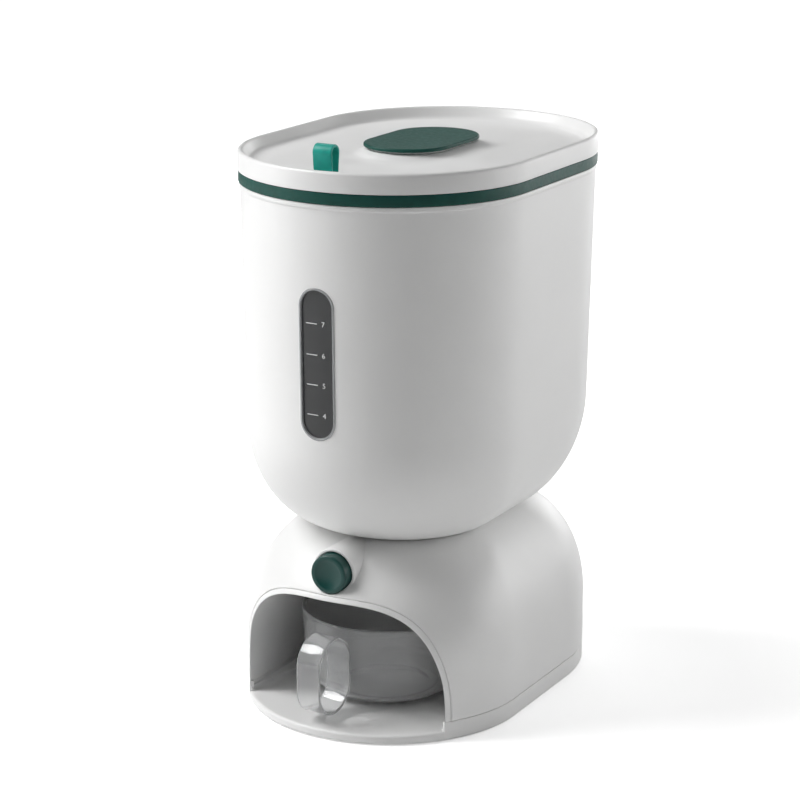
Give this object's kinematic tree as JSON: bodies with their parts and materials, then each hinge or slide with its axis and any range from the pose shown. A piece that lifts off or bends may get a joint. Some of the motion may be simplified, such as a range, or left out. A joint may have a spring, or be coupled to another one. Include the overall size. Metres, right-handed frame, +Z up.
{
  "type": "cereal dispenser",
  "caption": "Countertop dispenser for rice or cereal with an oval tank, sight window, push-button gate, domed base with an arched bay, lift-off lid and pull-out measuring cup.",
  "frame": {"origin": "centre of the footprint, on the surface that the feet stand on", "axes": "+Z up along the tank, front with button and bay towards -Y, +X to the right of someone facing the front"},
  "size_m": [0.22, 0.3176, 0.436],
  "materials": {
    "white_plastic": "satin",
    "inner_plastic": "matte",
    "green_plastic": "semi gloss",
    "green_rubber": "matte",
    "bright_silicone": "matte",
    "smoked_window": "polished",
    "clear_plastic": "polished",
    "dark_rubber": "matte",
    "steel": "brushed",
    "paper": "matte"
  },
  "bodies": {
    "base": {"base_tray": "white_plastic", "arch_liner": "white_plastic", "base_cover": "white_plastic", "neck_gasket": "dark_rubber", "tank": "white_plastic", "window_lens": "smoked_window", "hopper_funnel": "inner_plastic", "valve_upper_plate": "inner_plastic", "valve_lower_plate": "inner_plastic", "gate_seal": "dark_rubber", "chute": "inner_plastic", "rod_guide": "inner_plastic", "return_spring": "steel", "foot_1": "dark_rubber", "foot_2": "dark_rubber", "foot_3": "dark_rubber", "foot_4": "dark_rubber", "base_screw_1": "steel", "base_screw_2": "steel", "base_screw_3": "steel", "base_screw_4": "steel", "base_screw_5": "steel", "base_screw_6": "steel", "valve_screw_1": "steel", "valve_screw_2": "steel", "valve_screw_3": "steel", "valve_screw_4": "steel"},
    "button": {"button_cap": "green_plastic", "push_rod": "inner_plastic", "gate_plate": "inner_plastic", "gate_screw": "steel"},
    "lid": {"lid_shell": "white_plastic", "lid_plate": "inner_plastic", "lid_seal": "green_rubber", "pull_tab": "bright_silicone", "absorber_tub": "inner_plastic", "absorber_grille": "inner_plastic", "desiccant_pack": "paper"},
    "absorber_cap": {"absorber_cap": "green_rubber"},
    "cup": {"measuring_cup": "clear_plastic"}
  },
  "joints": [
    {"name": "lid_lift", "type": "slide", "parent": "base", "child": "lid", "axis": [0, 0, 1], "range_m": [0, 0.08]},
    {"name": "absorber_cap_lift", "type": "slide", "parent": "lid", "child": "absorber_cap", "axis": [0, 0, 1], "range_m": [0, 0.03]},
    {"name": "button_press", "type": "slide", "parent": "base", "child": "button", "axis": [0, 1, 0], "range_m": [0, 0.0135], "stiffness_N_per_m": 500, "springref_m": -0.006, "deforming": ["return_spring"]},
    {"name": "cup_slide", "type": "slide", "parent": "base", "child": "cup", "axis": [0, -1, 0], "range_m": [0, 0.18]}
  ]
}
